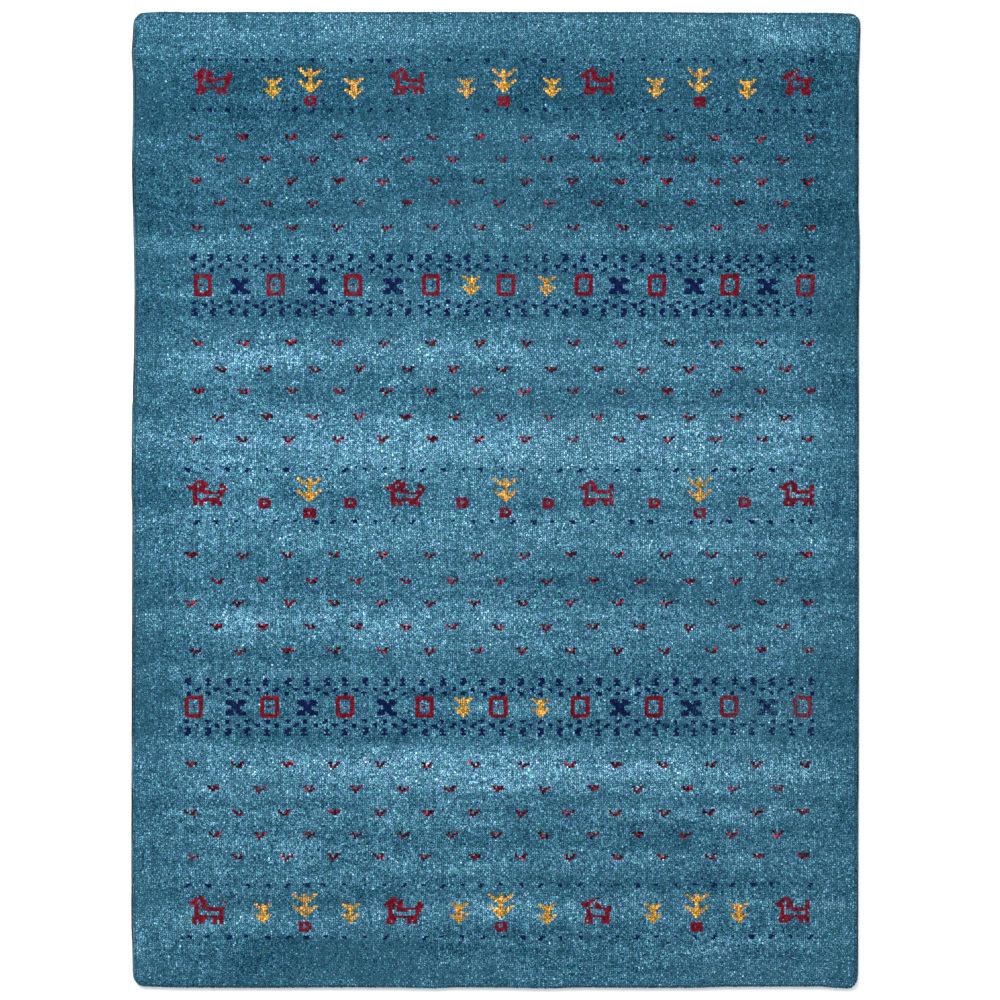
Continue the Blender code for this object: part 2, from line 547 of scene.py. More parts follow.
# Bands of goats: top rows and middle columns of their figures
GOAT_BANDS = (
    {
        "dot_rows": ((23, UPPER_DOTS), (48, UPPER_DOTS)),
        "goats": ((GOAT_CURLED, 38.5, 28), (GOAT_ROUND, 133.5, 28), (GOAT_ROUND, 227, 28),
                  (GOAT_SHORT, 324.7, 28)),
        "trees": ((86.3, 28), (181.4, 28), (277, 28)),
        "squares": ((SQUARE_ROUND, 86.3, 42), (SQUARE_FULL, 181.4, 42), (SQUARE_FULL, 277, 42)),
        "saplings": ((67.5, 33), (107, 33), (162.3, 33), (204.4, 33), (255.4, 33), (300.5, 33)),
        "small_squares": (),
    },
    {
        "dot_rows": ((228, LOWER_DOTS), (254, SPARSE_DOTS)),
        "goats": ((GOAT_TALL, 36, 234), (GOAT_TALL, 133.3, 234), (GOAT_ROUND, 227.2, 234),
                  (GOAT_ROUND, 325, 234)),
        "trees": ((85.8, 233), (181.9, 233), (277, 233)),
        "squares": ((SQUARE_FULL, 85.8, 248), (SQUARE, 181.9, 248), (SQUARE_ROUND, 277, 248)),
        "saplings": (),
        "small_squares": ((64.2, 243), (105.9, 243), (161.3, 243), (202.9, 243), (255.4, 243),
                          (299, 243)),
    },
    {
        "dot_rows": ((436, LOWER_DOTS), (462, LOWER_DOTS)),
        "goats": ((GOAT_LOOPED, 36, 442), (GOAT_CURLED, 132, 443), (GOAT_SHORT, 226.6, 443),
                  (GOAT_ROUND, 323, 443)),
        "trees": ((83.8, 441), (179.9, 441), (276, 441)),
        "squares": ((SQUARE, 83.8, 455), (SQUARE_ROUND, 179.9, 455), (SQUARE_FULL, 276, 455)),
        "saplings": ((63.7, 446), (106.4, 446), (159.3, 446), (202.5, 446), (254.9, 446),
                     (296.6, 446)),
        "small_squares": (),
    },
)

# Bands of frames: top rows and middle columns of their figures
FRAME_BANDS = (
    {
        "dots": UPPER_DOTS,
        "figures_top": 131,
        "pair_rows": (121, 148),
        "dot_rows": (128, 144),
        "between_rows": (126, 146),
        "frames": (32.4, 68.6, 106.9, 144.6, 181.9, 219.6, 255.4, 291.7, 328.4),
        "heavy": (0, 1, 2, 7),
        "flowers": (50.5, 89.2, 125.5, 237.3, 273.5, 309.8),
        "saplings": (164.0, 201),
    },
    {
        "dots": LOWER_DOTS,
        "figures_top": 342,
        "pair_rows": (333, 358),
        "dot_rows": (340, 354),
        "between_rows": (338, 356),
        "frames": (29.9, 66.2, 103.9, 142.2, 178.9, 218.1, 254.9, 291.2, 327.5),
        "heavy": (3,),
        "flowers": (49.5, 85.3, 124, 237.7, 273, 309.8),
        "saplings": (161.8, 199.5),
    },
)

# Fields of sprigs: the five rows of each, and the column of its first sprig
SPRIG_FIELDS = (
    ((61, 72, 83, 94, 106), 30.4),
    ((164, 177, 188, 201, 212), 30.2),
    ((270, 283, 294, 306, 318), 29.0),
    ((375, 387, 399, 410, 421), 28.4),
)
SPRIG_STEP = 23.1
SPRIGS_IN_ROW = 14

# How far every second row of sprigs shifts, in steps, and how far figures stray, in knots
SPRIG_SHIFT = 0.48
SPRIG_STRAY = 0.7
DOT_STRAY = 0.5

# How many rows the flowers and saplings start below the frames beside them
FLOWER_DROP = 2
SAPLING_DROP = 1

rng = np.random.default_rng(20)


def eased(rows, places):
    """The rows' second column at places in their first, eased between rows."""
    keys = np.array([row[0] for row in rows])
    values = np.array([row[1] for row in rows], float)
    at = np.clip(np.searchsorted(keys, places) - 1, 0, len(keys) - 2)
    share = np.clip((places - keys[at]) / (keys[at + 1] - keys[at]), 0, 1)
    share = share * share * (3 - 2 * share)
    share = share.reshape(share.shape + (1,) * (values.ndim - 1))
    return values[at] * (1 - share) + values[at + 1] * share


def soft_noise(x, y, cell_x, cell_y, seed):
    """Smooth noise from -1 to 1 over points, from random values on a lattice of cells."""
    lattice = np.random.default_rng(seed).uniform(-1, 1, (LATTICE_CELLS, LATTICE_CELLS))
    u = x / cell_x + LATTICE_START
    v = y / cell_y + LATTICE_START
    iu = np.floor(u).astype(int)
    iv = np.floor(v).astype(int)
    fu = u - iu
    fv = v - iv
    fu = fu * fu * (3 - 2 * fu)
    fv = fv * fv * (3 - 2 * fv)

    def corner(du, dv):
        return lattice[(iu + du) % LATTICE_CELLS, (iv + dv) % LATTICE_CELLS]

    low = corner(0, 0) * (1 - fu) + corner(1, 0) * fu
    high = corner(0, 1) * (1 - fu) + corner(1, 1) * fu
    return low * (1 - fv) + high * fv


def drift(x, y, noise):
    """One of the named soft noises over points."""
    strength, cell_x, cell_y, seed = noise
    return strength * soft_noise(x, y, cell_x, cell_y, seed)


def cloth_outline():
    """The cloth's outline on the floor, anticlockwise, with outward directions.

    The solid's underside is one flat face, so its points are all on the outline.
    """
    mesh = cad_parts["knotted_rug"].data
    points = np.empty(len(mesh.vertices) * 3)
    mesh.vertices.foreach_get("co", points)
    points = points.reshape(-1, 3)
    foot = points[points[:, 2] < FOOT_HEIGHT][:, :2]
    foot = np.unique(foot.round(6), axis=0)
    loop = foot[np.argsort(np.arctan2(foot[:, 1], foot[:, 0]))]
    along = np.roll(loop, -1, axis=0) - np.roll(loop, 1, axis=0)
    along /= np.linalg.norm(along, axis=1)[:, None]
    return loop, np.stack([along[:, 1], -along[:, 0]], axis=1)


def resampled(loop, step):
    """Even points along a closed loop, with outward directions."""
    closed = np.vstack([loop, loop[:1]])
    lengths = np.linalg.norm(np.diff(closed, axis=0), axis=1)
    along = np.concatenate([[0], np.cumsum(lengths)])
    places = np.linspace(0, along[-1], int(along[-1] / step), endpoint=False)
    even = np.stack([np.interp(places, along, closed[:, k]) for k in range(2)], axis=1)
    way = np.roll(even, -2, axis=0) - np.roll(even, 2, axis=0)
    way /= np.linalg.norm(way, axis=1)[:, None]
    return even, np.stack([way[:, 1], -way[:, 0]], axis=1)


def side_line(loop, out, axis, sign):
    """One side of the outline, as sorted places along it and its distance."""
    chosen = out[:, axis] * sign > SQUARE_ON
    places = loop[chosen, 1 - axis]
    order = np.argsort(places)
    return places[order], loop[chosen, axis][order]


def knot_places(loop, out):
    """The middle of every knot, as arrays of rows by columns."""
    left = side_line(loop, out, 0, -1)
    right = side_line(loop, out, 0, 1)
    bottom = side_line(loop, out, 1, -1)
    top = side_line(loop, out, 1, 1)
    u = (np.arange(KNOTS_ACROSS) + 0.5) / KNOTS_ACROSS
    v = (np.arange(KNOT_ROWS) + 0.5) / KNOT_ROWS
    u, v = np.meshgrid(u, v)
    y = loop[:, 1].max() * (1 - 2 * v)
    x = np.interp(y, *left) * (1 - u) + np.interp(y, *right) * u
    y = np.interp(x, *top) * (1 - v) + np.interp(x, *bottom) * v
    return x, y


def nearest_on(loop, out, x, y):
    """How far points lie inside the loop, and the outward direction nearest to them."""
    inside = np.empty(len(x))
    way = np.empty((len(x), 2))
    for start in range(0, len(x), POINTS_AT_ONCE):
        part = slice(start, start + POINTS_AT_ONCE)
        dx = x[part, None] - loop[None, :, 0]
        dy = y[part, None] - loop[None, :, 1]
        best = np.argmin(dx * dx + dy * dy, axis=1)
        rows = np.arange(len(best))
        way[part] = out[best]
        inside[part] = -(dx[rows, best] * out[best, 0] + dy[rows, best] * out[best, 1])
    return inside, way


def work_figure(chart, figure, column, row, yarn):
    """Knot one figure into the chart, its middle on a column and its top on a row."""
    left = math.floor(column - len(figure[0]) / 2 + 0.5)
    for down, line in enumerate(figure):
        for along, mark in enumerate(line):
            if mark == "#":
                chart[row + down, left + along] = yarn


def work_dots(chart, row, columns, figures):
    """Knot a row of navy dots, each drawn from a few uneven forms."""
    for column in columns:
        figure = figures[rng.integers(len(figures))]
        work_figure(chart, figure, column + rng.uniform(-DOT_STRAY, DOT_STRAY), row, NAVY)


def dot_columns(dots):
    """The middle column of each dot in a row."""
    first, stretches = dots
    steps = np.repeat([pitch for count, pitch in stretches], [count for count, pitch in stretches])
    return first + np.concatenate([[0], np.cumsum(steps)])


def work_goat_band(chart, band):
    """Knot a band of goats and trees, with its rows of dots."""
    for row, dots in band["dot_rows"]:
        work_dots(chart, row, dot_columns(dots), FAINT_DOTS)
    for goat, column, row in band["goats"]:
        work_figure(chart, goat, column, row, RED)
    for column, row in band["trees"]:
        work_figure(chart, TREE, column, row, OCHRE)
    for square, column, row in band["squares"]:
        work_figure(chart, square, column, row, RED)
    for column, row in band["saplings"]:
        work_figure(chart, SAPLING, column, row, OCHRE)
    for column, row in band["small_squares"]:
        work_figure(chart, SQUARE, column, row, RED)


def work_frame_band(chart, band):
    """Knot a band of frames and flowers, with its rows of dots."""
    columns = dot_columns(band["dots"])
    between = (columns[1:] + columns[:-1]) / 2
    for row in band["pair_rows"]:
        work_dots(chart, row, columns, PAIRED_DOTS)
    for row in band["dot_rows"]:
        work_dots(chart, row, columns, DOTS)
    for row in band["between_rows"]:
        work_dots(chart, row, between, DOTS)
    for i, column in enumerate(band["frames"]):
        frame_figure = FRAME_HEAVY if i in band["heavy"] else FRAME_LIGHT
        work_figure(chart, frame_figure, column, band["figures_top"], RED)
    for column in band["flowers"]:
        work_figure(chart, FLOWER, column, band["figures_top"] + FLOWER_DROP, NAVY)
    for column in band["saplings"]:
        work_figure(chart, SAPLING, column, band["figures_top"] + SAPLING_DROP, OCHRE)


def work_sprig_field(chart, rows, first):
    """Knot the rows of sprigs between two bands, every second row shifted."""
    for i, row in enumerate(rows):
        shifted = i % 2
        for k in range(SPRIGS_IN_ROW - shifted):
            column = first + SPRIG_STEP * (k + SPRIG_SHIFT * shifted)
            column += rng.uniform(-SPRIG_STRAY, SPRIG_STRAY)
            figure = SPRIGS[rng.integers(len(SPRIGS))]
            work_figure(chart, figure, column, row, MAROON)


def knot_chart():
    """The yarn of every knot, as rows by columns."""
    chart = np.zeros((KNOT_ROWS, KNOTS_ACROSS), int)
    for rows, first in SPRIG_FIELDS:
        work_sprig_field(chart, rows, first)
    for band in GOAT_BANDS:
        work_goat_band(chart, band)
    for band in FRAME_BANDS:
        work_frame_band(chart, band)
    return chart


def field_tone(x, y):
    """How light the blue is at points: bands of abrash and of painted pile-lay shade, soft streaks,
    ribs and patches.
    """
    slope = np.clip((SLOPE_START - y) / SLOPE_REACH, 0, 1) * BAND_SLOPE * (x - SLOPE_TURN)
    down = 1.0 - y + slope + drift(x, y, BAND_WANDER)
    # Bands down the rug, partly abrash and partly painted shade of the pile's lay
    tone = BAND_STRENGTH * eased(ABRASH_AND_LAY_SHADE, np.clip(down, ABRASH_AND_LAY_SHADE[0][0], ABRASH_AND_LAY_SHADE[-1][0]))
    wave_x = x + drift(x, y, PATCH_WANDER_ACROSS)
    wave_y = y + drift(x, y, PATCH_WANDER_ALONG)
    for (middle_x, middle_y), half_width, half_length, lift in PATCHES:
        far = np.hypot((wave_x - middle_x) / half_width, (wave_y - middle_y) / half_length)
        tone += lift * np.exp(-far ** PATCH_EDGE)
    tone += drift(x, y + slope, STREAKS)
    for noise in (BROAD_MOTTLE, FINE_MOTTLE, RIBS):
        tone += drift(x, y, noise)
    margin = np.clip((np.abs(x) - MARGIN_START) / MARGIN_REACH, 0, 1)
    margin *= np.clip((MARGIN_END - np.abs(y)) / MARGIN_FADE, 0, 1)
    return tone - MARGIN_TONE * margin


def field_blue(x, y):
    """The field's colour at points."""
    lowest, highest = BLUE_TONES[0][0], BLUE_TONES[-1][0]
    return eased(BLUE_TONES, np.clip(field_tone(x, y), lowest, highest))


def yarn_colours(chart, x, y):
    """The colour of the knots at points, before their own light and dark."""
    palette = np.array([(0, 0, 0), RED_YARN, MAROON_YARN, NAVY_YARN, OCHRE_YARN])
    return np.where((chart == FIELD)[..., None], field_blue(x, y), palette[chart])


def mesh_piece(name, points, faces, material, smooth=True):
    """A named piece from arrays of points and of equal-sided faces, riding on the rug."""
    mesh = bpy.data.meshes.new(name)
    sides = faces.shape[1]
    mesh.vertices.add(len(points))
    mesh.vertices.foreach_set("co", np.ascontiguousarray(points, np.float32).ravel())
    mesh.loops.add(faces.size)
    mesh.loops.foreach_set("vertex_index", np.ascontiguousarray(faces, np.int32).ravel())
    mesh.polygons.add(len(faces))
    mesh.polygons.foreach_set("loop_start", np.arange(0, faces.size, sides, dtype=np.int32))
    mesh.update(calc_edges=True)
    mesh.validate()
    if smooth:
        mesh.shade_smooth()
    mesh.materials.append(material)
    piece = bpy.data.objects.new(name, mesh)
    bpy.context.scene.collection.objects.link(piece)
    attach(piece, "root")
    return piece


def paint(piece, colours, flecks):
    """Store a colour for each point of a piece, and how far painted fibre highlights and shade fleck
    it.
    """
    layer = piece.data.color_attributes.new("yarn", "FLOAT_COLOR", "POINT")
    whole = np.empty((len(colours), 4), np.float32)
    whole[:, :3] = colours
    whole[:, 3] = flecks
    layer.data.foreach_set("color", whole.ravel())


def map_cells(piece, across, down):
    """A flat map for the piece's tufts: four triangles fill each tuft's cell of a grid."""
    layer = piece.data.uv_layers.new(name="OFBake")
    corners = np.array([(0, 0), (1, 0), (1, 1), (0, 1), (0.5, 0.5)])
    order = np.array(TUFT_FACES).ravel()
    at = np.stack([across, down], axis=1)[:, None, :]
    uv = (at + corners[order][None]) / (across.max() + 1, down.max() + 1)
    layer.data.foreach_set("uv", uv.astype(np.float32).ravel())


def tufts(name, base, tip, colour, flecks, material):
    """Four-sided tufts: base is n by 4 by 3 points and tip is n by 3."""
    count = len(base)
    points = np.concatenate([base, tip[:, None]], axis=1).reshape(-1, 3)
    first = np.arange(count)[:, None, None] * POINTS_PER_TUFT
    faces = (first + np.array(TUFT_FACES)[None]).reshape(-1, 3)
    piece = mesh_piece(name, points, faces, material)
    # Each tuft is coloured darker at its foot as painted shade and lighter at its tip as painted
    # highlight
    deep = colour * np.power(DEEP_SHADE, SHADE_POWERS)
    light = colour * np.power(TIP_HIGHLIGHT, SHADE_POWERS)
    corners = own_shades(np.full(count * 4, CORNER_SHADES)).reshape(count, 4, 3)
    colours = np.concatenate([deep[:, None] * corners, light[:, None]], axis=1)
    paint(piece, colours.reshape(-1, 3), np.repeat(flecks, POINTS_PER_TUFT))
    return piece


def own_shades(spread):
    """Each tuft's own light and dark, in which red varies most and blue least."""
    light = np.exp(rng.normal(0, 1, spread.shape) * spread - spread ** 2 / 2)
    green = np.exp(rng.normal(0, GREEN_SHADES, spread.shape))
    shades = light[:, None] ** np.array(SHADE_POWERS)
    shades[:, 1] *= green
    return shades


def pile_height(x, y):
    """Height of the pile's top, gently uneven."""
    return cad_box[1].z - PILE_UNDER_BOX + drift(x, y, PILE_SWELL)


def make_pile(chart, x, y, loop, out, material):
    """The cut pile: one tuft to a knot, in a few pieces from the top end down."""
    rows, columns = np.indices(chart.shape)
    edge = np.minimum.reduce([rows, columns, KNOT_ROWS - 1 - rows, KNOTS_ACROSS - 1 - columns])
    border = edge < BORDER_KNOTS
    inside = np.full(chart.shape, 1.0)
    way = np.zeros(chart.shape + (2,))
    inside[border], way[border] = nearest_on(loop, out, x[border], y[border])

    pitch_x = (x.max() - x.min()) / (KNOTS_ACROSS - 1)
    pitch_y = (y.max() - y.min()) / (KNOT_ROWS - 1)
    fall = np.clip(1 - inside / RIM_ROUND, 0, RIM_STEEPEST) ** 2
    top = pile_height(x, y) - RIM_DROP * fall
    loose = np.clip(edge / BORDER_KNOTS, 0, 1)
    stray_x = x + loose * drift(x, y, COLUMN_WANDER)
    stray_y = y + loose * drift(x, y, ROW_WANDER)
    stray = rng.uniform(-1, 1, x.shape + (2,)) * (TIP_STRAY_ACROSS, TIP_STRAY_ALONG)
    tip = np.stack([
        stray_x + pitch_x * (PILE_LAY[0] + stray[..., 0]),
        stray_y + pitch_y * (PILE_LAY[1] + stray[..., 1]),
        top + TUFT_HEIGHT_SPREAD * rng.normal(0, 1, x.shape),
    ], axis=-1)
    tip[..., :2] += way * (RIM_LEAN * fall)[..., None]
    corners = np.array([(-1, -1), (1, -1), (1, 1), (-1, 1)], float)
    reach = corners * (pitch_x * TUFT_OVERLAP_ACROSS, pitch_y * TUFT_OVERLAP_ALONG)
    spread = np.where(np.isin(chart, (RED, MAROON, NAVY)), FIGURE_TUFT_SPREAD, 1.0)
    base = np.empty(x.shape + (4, 3))
    base[..., 0] = stray_x[..., None] + spread[..., None] * reach[:, 0]
    base[..., 1] = stray_y[..., None] + spread[..., None] * reach[:, 1]
    base[..., 2] = top[..., None] - TUFT_DEPTH
    base += rng.normal(0, TUFT_FOOT_SPREAD, base.shape)

    colour = yarn_colours(chart, x, y)
    shades = np.array([FIELD_SHADES, FIGURE_SHADES, SPRIG_SHADES, FIGURE_SHADES, OCHRE_SHADES])
    flecks = np.array([FIELD_FLECKS, FIGURE_FLECKS, SPRIG_FLECKS, FIGURE_FLECKS, OCHRE_FLECKS])
    kept = inside > EDGE_MARGIN
    for i, part in enumerate(np.array_split(np.arange(KNOT_ROWS), PILE_PIECES)):
        chosen = np.zeros(chart.shape, bool)
        chosen[part] = kept[part]
        own = colour[chosen] * own_shades(shades[chart[chosen]])
        piece = tufts(f"pile_{i + 1}", base[chosen], tip[chosen], own, flecks[chart[chosen]],
                      material)
        map_cells(piece, columns[chosen], part[-1] - rows[chosen])
        yield piece


def make_rim(loop, material):
    """Strands that stand out all round the pile's edge, in layers up its side."""
    even, out = resampled(loop, RIM_STRAND_STEP)
    along = np.stack([-out[:, 1], out[:, 0]], axis=1)
    bases, tips, colours = [], [], []
    for out_by, height in RIM_LAYERS:
        count = len(even)
        shift = rng.uniform(-1, 1, count)[:, None] * RIM_STRAND_SHIFT
        middle = even + out * (out_by - RIM_ROOT_DEPTH) + along * shift
        base = np.empty((count, 4, 3))
        for k, (side, up) in enumerate(((-1, -1), (1, -1), (1, 1), (-1, 1))):
            base[:, k, :2] = middle + along * side * RIM_STRAND_HALF_WIDTH
            base[:, k, 2] = height + up * RIM_STRAND_HALF_HEIGHT
        tip = np.empty((count, 3))
        reach = RIM_STRAND_REACH * rng.uniform(*RIM_REACH_SHARES, count)[:, None]
        stray = rng.normal(0, RIM_TIP_STRAY, count)[:, None]
        tip[:, :2] = middle + out * (reach + RIM_TIP_OUT) + along * stray
        tip[:, 2] = height + rng.normal(RIM_TIP_RISE, RIM_TIP_SPREAD, count)
        colour = field_blue(even[:, 0], even[:, 1])
        bases.append(base)
        tips.append(tip)
        colours.append(colour * own_shades(np.full(count, FIELD_SHADES)))
    piece = tufts("pile_rim", np.concatenate(bases), np.concatenate(tips),
                  np.concatenate(colours), np.ones(len(RIM_LAYERS) * len(even)), material)
    order = np.arange(len(RIM_LAYERS) * len(even))
    side = math.ceil(math.sqrt(len(order)))
    map_cells(piece, order % side, order // side)
    return piece


def make_cloth(pile_material, back_material):
    """The foundation and the roots of the pile: a thin closed sheet under the tufts."""
    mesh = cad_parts["knotted_rug"].data.copy()
    mesh.name = "rug_cloth"
    mesh.materials.clear()
    mesh.materials.append(pile_material)
    mesh.materials.append(back_material)
    points = np.empty(len(mesh.vertices) * 3)
    mesh.vertices.foreach_get("co", points)
    points = points.reshape(-1, 3)
    top = cad_box[1].z
    share = np.clip((points[:, 2] - FOUNDATION_TOP) / (top - FOUNDATION_TOP), 0, 1)
    points[:, 2] -= share * TUFT_DEPTH * CLOTH_TOP_SHARE
    from_middle = np.maximum(np.abs(points[:, :2]), NEAR_MIDDLE)
    points[:, :2] *= 1 - CLOTH_SHRINK / from_middle
    points[:, 2] = np.maximum(points[:, 2], BACK_LIFT)
    mesh.vertices.foreach_set("co", points.ravel())
    mesh.update()
    # The cloth's top and sides take the roots' painted shade, and its underside the woven back
    for face in mesh.polygons:
        face.material_index = 1 if face.normal.z < -SQUARE_ON else 0
    piece = bpy.data.objects.new("rug_cloth", mesh)
    bpy.context.scene.collection.objects.link(piece)
    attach(piece, "root")
    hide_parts("knotted_rug")
    return piece


def make_back_figures(chart, x, y, material):
    """The knots of the figures as they show on the woven back."""
    worked = chart != FIELD
    pitch_x = (x.max() - x.min()) / (KNOTS_ACROSS - 1)
    pitch_y = (y.max() - y.min()) / (KNOT_ROWS - 1)
    corners = np.array([(-1, -1), (-1, 1), (1, 1), (1, -1)], float) * BACK_KNOT_HALF
    middles = np.stack([x[worked], y[worked]], axis=1)
    points = np.zeros((len(middles), 4, 3))
    points[..., :2] = middles[:, None] + corners * (pitch_x, pitch_y)
    faces = np.arange(len(middles) * 4).reshape(-1, 4)
    piece = mesh_piece("back_figures", points.reshape(-1, 3), faces, material, smooth=False)
    shades = own_shades(np.full(worked.sum(), FIGURE_SHADES))
    colours = yarn_colours(chart, x, y)[worked] * shades
    paint(piece, np.repeat(colours, 4, axis=0), FIGURE_FLECKS)
    return piece


def make_selvedge(name, side, loop, out, material, node):
    """Wool wound round the outer warps of one side, wrap beside wrap."""
    chosen = (loop[:, 0] * side > 0) & (out[:, 0] * side > CORD_FACING)
    points = loop[chosen]
    ways = out[chosen]
    order = np.argsort(points[:, 1])
    points = points[order]
    ways = ways[order]
    along = np.concatenate([[0], np.cumsum(np.linalg.norm(np.diff(points, axis=0), axis=1))])
    wraps = int(along[-1] / WRAP_PITCH)
    rings = wraps * WRAP_RINGS + 1
    places = np.linspace(0, along[-1], rings)
    angle = 2 * math.pi * np.arange(WRAP_SIDES) / WRAP_SIDES
    wrap = np.sin(math.pi * np.arange(rings) / WRAP_RINGS) ** 2
    lump = 1 + drift(places, places * 0, CORD_LUMPS) + drift(places, places * 0, WRAP_LUMPS)
    swell = (1 - WRAP_DIP * (1 - wrap)) * np.clip(lump, *LUMP_LIMITS)
    ends = np.clip(np.minimum(places, along[-1] - places) / TAPER, 0, 1)
    width = CORD_WIDTH * (TAPER_END + (1 - TAPER_END) * np.sqrt(ends))[:, None]
    shifted = np.clip(places[:, None] + WRAP_SLANT * np.sin(angle)[None], 0, along[-1])
    middle_x = np.interp(shifted, along, points[:, 0])
    middle_y = np.interp(shifted, along, points[:, 1])
    way_x = np.interp(shifted, along, ways[:, 0])
    way_y = np.interp(shifted, along, ways[:, 1])
    out_by = CORD_GAP + width / 2 * (1 + np.cos(angle)[None] * swell[:, None])
    tube = np.stack([
        middle_x + way_x * out_by,
        middle_y + way_y * out_by,
        CORD_HEIGHT / 2 * (1 + np.sin(angle)[None] * swell[:, None]),
    ], axis=-1)
    ring = np.arange(rings - 1)[:, None] * WRAP_SIDES
    k = np.arange(WRAP_SIDES)[None]
    following = (k + 1) % WRAP_SIDES
    faces = np.stack([ring + k, ring + following, ring + WRAP_SIDES + following,
                      ring + WRAP_SIDES + k], axis=-1).reshape(-1, 4)
    if side > 0:
        faces = faces[:, ::-1]
    piece = mesh_piece(name, tube.reshape(-1, 3), faces, material)
    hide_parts(node)
    return piece


def material_of(name, roughness=WOOL_ROUGHNESS):
    """A new node material, with its nodes, links and shader."""
    material = bpy.data.materials.new(name)
    material.use_nodes = True
    nodes = material.node_tree.nodes
    shader = nodes["Principled BSDF"]
    shader.inputs["Roughness"].default_value = roughness
    shader.inputs["Specular IOR Level"].default_value = WOOL_SPECULAR
    return material, nodes, material.node_tree.links, shader


def noise_node(nodes, links, scale, detail, stretch=(1, 1, 1)):
    """Noise over the piece's own metres, finer along the axes that are stretched."""
    place = nodes.new("ShaderNodeTexCoord")
    mapping = nodes.new("ShaderNodeMapping")
    mapping.inputs["Scale"].default_value = stretch
    noise = nodes.new("ShaderNodeTexNoise")
    noise.inputs["Scale"].default_value = scale
    noise.inputs["Detail"].default_value = detail
    links.new(place.outputs["Object"], mapping.inputs["Vector"])
    links.new(mapping.outputs["Vector"], noise.inputs["Vector"])
    return noise


def ramp(nodes, links, source, low, high, half_span=0.2):
    """Stretch noise about its middle to run from low to high."""
    spread = nodes.new("ShaderNodeMapRange")
    spread.inputs["From Min"].default_value = 0.5 - half_span
    spread.inputs["From Max"].default_value = 0.5 + half_span
    spread.inputs["To Min"].default_value = low
    spread.inputs["To Max"].default_value = high
    links.new(source, spread.inputs["Value"])
    return spread.outputs["Result"]


def scaled_colour(nodes, links, colour, factor):
    """A colour times a value."""
    product = nodes.new("ShaderNodeVectorMath")
    product.operation = "SCALE"
    links.new(colour, product.inputs[0])
    links.new(factor, product.inputs["Scale"])
    return product.outputs["Vector"]


def bump(nodes, links, shader, height, strength, distance):
    """Raise a shader's surface by a height from 0 to 1 times a distance."""
    node = nodes.new("ShaderNodeBump")
    node.inputs["Strength"].default_value = strength
    node.inputs["Distance"].default_value = distance
    links.new(height, node.inputs["Height"])
    links.new(node.outputs["Normal"], shader.inputs["Normal"])


def mixed(nodes, links, factor, low, high):
    """A colour part of the way between two others."""
    mix = nodes.new("ShaderNodeMix")
    mix.data_type = "RGBA"
    links.new(factor, mix.inputs["Factor"])
    for socket, value in (("A", low), ("B", high)):
        if isinstance(value, bpy.types.NodeSocket):
            links.new(value, mix.inputs[socket])
        else:
            mix.inputs[socket].default_value = value
    return mix.outputs["Result"]


def wool_pile_material():
    """Cut wool: each knot's own colour, flecked a fraction of a knot wide with painted highlights of
    fibre ends and painted shade between them.
    """
    material, nodes, links, shader = material_of("wool_pile")
    shader.inputs["Sheen Weight"].default_value = PILE_SHEEN
    shader.inputs["Sheen Roughness"].default_value = PILE_SHEEN_ROUGHNESS
    yarn = nodes.new("ShaderNodeVertexColor")
    yarn.layer_name = "yarn"
    fibres = noise_node(nodes, links, PILE_FIBRES, 2, PILE_FIBRE_STRETCH)
    # Fibre noise sets the painted shade and painted highlights, as strongly as the yarn's alpha says
    flecking = ramp(nodes, links, fibres.outputs["Fac"], 0.0, 1.0, FLECK_SPAN)
    shade = mixed(nodes, links, flecking, FLECK_PIT_SHADE, FLECK_HIGHLIGHT)
    shade = mixed(nodes, links, yarn.outputs["Alpha"], UNFLECKED, shade)
    product = nodes.new("ShaderNodeVectorMath")
    product.operation = "MULTIPLY"
    links.new(yarn.outputs["Color"], product.inputs[0])
    links.new(shade, product.inputs[1])
    links.new(product.outputs["Vector"], shader.inputs["Base Color"])
    bump(nodes, links, shader, fibres.outputs["Fac"], *PILE_BUMP)
    return material


def pile_roots_material():
    """The pile's roots between the tufts, darker than the field as painted shade of the pile's
    depth.
    """
    material, nodes, links, shader = material_of("pile_roots", 1.0)
    fibres = noise_node(nodes, links, ROOT_FIBRES, 3)
    colour = mixed(nodes, links, fibres.outputs["Fac"], ROOTS_DARK, ROOTS_LIGHT)
    links.new(colour, shader.inputs["Base Color"])
    bump(nodes, links, shader, fibres.outputs["Fac"], *ROOT_BUMP)
    return material


def knot_back_material():
    """The woven back: rows of small knot loops between sunken wefts."""
    material, nodes, links, shader = material_of("knot_backs")
    place = nodes.new("ShaderNodeTexCoord")
    bricks = nodes.new("ShaderNodeTexBrick")
    bricks.inputs["Scale"].default_value = 1 / BACK_KNOT_PITCH
    bricks.inputs["Brick Width"].default_value = 1.0
    bricks.inputs["Row Height"].default_value = 1.0
    bricks.inputs["Mortar Size"].default_value = WEFT_SHARE
    bricks.inputs["Mortar Smooth"].default_value = WEFT_SOFTNESS
    bricks.offset = 0.0
    bricks.inputs["Color1"].default_value = KNOT_BACK_DARK
    bricks.inputs["Color2"].default_value = KNOT_BACK_LIGHT
    bricks.inputs["Mortar"].default_value = WEFT_COLOUR
    links.new(place.outputs["Object"], bricks.inputs["Vector"])
    streaks = noise_node(nodes, links, BACK_STREAKS, 4, BACK_STREAK_STRETCH)
    colour = scaled_colour(nodes, links, bricks.outputs["Color"],
                           ramp(nodes, links, streaks.outputs["Fac"], *BACK_STREAK_SHADES))
    links.new(colour, shader.inputs["Base Color"])
    inverse = nodes.new("ShaderNodeMath")
    inverse.operation = "SUBTRACT"
    inverse.inputs[0].default_value = 1.0
    links.new(bricks.outputs["Fac"], inverse.inputs[1])
    bump(nodes, links, shader, inverse.outputs["Value"], *BACK_BUMP)
    return material


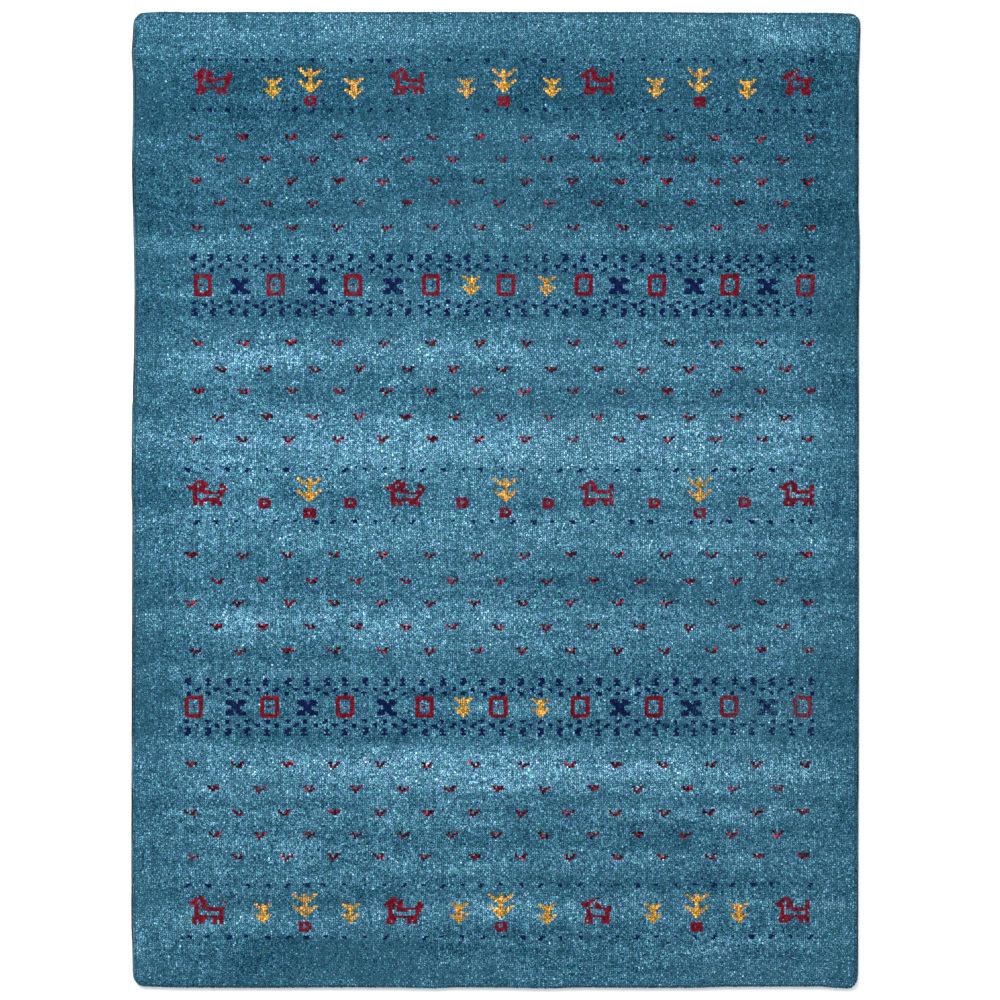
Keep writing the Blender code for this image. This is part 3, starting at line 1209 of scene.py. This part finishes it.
def selvedge_material(name, dark, middling, pale):
    """Wound wool that drifts along its length between three colours."""
    material, nodes, links, shader = material_of(name)
    change = noise_node(nodes, links, CORD_CHANGE, 3)
    tint = nodes.new("ShaderNodeValToRGB")
    stops = tint.color_ramp.elements
    first, halfway, last = CORD_STOPS
    stops[0].position = first
    stops[0].color = (*dark, 1)
    stops[1].position = last
    stops[1].color = (*pale, 1)
    stops.new(halfway).color = (*middling, 1)
    links.new(change.outputs["Fac"], tint.inputs["Fac"])
    fibres = noise_node(nodes, links, CORD_FIBRES, 3, CORD_FIBRE_STRETCH)
    colour = scaled_colour(nodes, links, tint.outputs["Color"],
                           ramp(nodes, links, fibres.outputs["Fac"], *CORD_FIBRE_SHADES))
    links.new(colour, shader.inputs["Base Color"])
    bump(nodes, links, shader, fibres.outputs["Fac"], *CORD_BUMP)
    return material


def make_floor():
    """A plain white floor."""
    half = FLOOR_HALF
    points = [(-half, -half, 0), (half, -half, 0), (half, half, 0), (-half, half, 0)]
    mesh = bpy.data.meshes.new("floor")
    mesh.from_pydata(points, [], [(0, 1, 2, 3)])
    material, nodes, links, shader = material_of("white_floor", 1.0)
    shader.inputs["Base Color"].default_value = FLOOR_WHITE
    mesh.materials.append(material)
    floor = bpy.data.objects.new("floor", mesh)
    bpy.context.scene.collection.objects.link(floor)


def make_lights():
    """Even soft light from all round, with one broad lamp a little stronger."""
    world = bpy.data.worlds.new("studio")
    bpy.context.scene.world = world
    world.use_nodes = True
    sky = world.node_tree.nodes["Background"]
    sky.inputs["Color"].default_value = (1.0, 1.0, 1.0, 1)
    sky.inputs["Strength"].default_value = SKY_STRENGTH
    lamp = bpy.data.lights.new("broad_lamp", "AREA")
    lamp.shape = "SQUARE"
    lamp.size = LAMP_SIDE
    lamp.energy = LAMP_POWER
    holder = bpy.data.objects.new("broad_lamp", lamp)
    bpy.context.scene.collection.objects.link(holder)
    holder.location = LAMP_PLACE
    aim = Vector((0, 0, 0)) - holder.location
    holder.rotation_euler = aim.to_track_quat("-Z", "Y").to_euler()


def make_camera():
    """A long lens straight above the rug, as in the photograph."""
    frame_side = PHOTO_PIXELS * METRES_PER_PIXEL
    centre_x = (PHOTO_PIXELS / 2 - RUG_MIDDLE_PIXEL) * METRES_PER_PIXEL
    camera = bpy.data.cameras.new("camera")
    camera.sensor_width = SENSOR_WIDTH
    camera.lens = SENSOR_WIDTH * CAMERA_HEIGHT / frame_side
    camera.clip_end = CAMERA_REACH
    holder = bpy.data.objects.new("camera", camera)
    bpy.context.scene.collection.objects.link(holder)
    holder.location = (centre_x, 0, CAMERA_HEIGHT)
    bpy.context.scene.camera = holder


def main():
    """Build the floor, the light, the camera and the rug's visible pieces."""
    scene = bpy.context.scene
    scene.view_settings.view_transform = "Standard"
    loop, out = cloth_outline()
    x, y = knot_places(loop, out)
    chart = knot_chart()
    pile_material = wool_pile_material()
    left_wool = selvedge_material("selvedge_wool", *LEFT_SELVEDGE)
    right_wool = selvedge_material("selvedge_wool_blue", *RIGHT_SELVEDGE)
    make_camera()
    make_lights()
    make_floor()
    cloth = make_cloth(pile_roots_material(), knot_back_material())
    extras = list(make_pile(chart, x, y, loop, out, pile_material))
    extras.append(make_rim(loop, pile_material))
    extras.append(make_back_figures(chart, x, y, pile_material))
    fine_loop, fine_out = resampled(loop, CORD_STEP)
    extras.append(make_selvedge("wraps_left", -1, fine_loop, fine_out, left_wool, "selvedge_left"))
    extras.append(make_selvedge("wraps_right", 1, fine_loop, fine_out, right_wool, "selvedge_right"))


main()
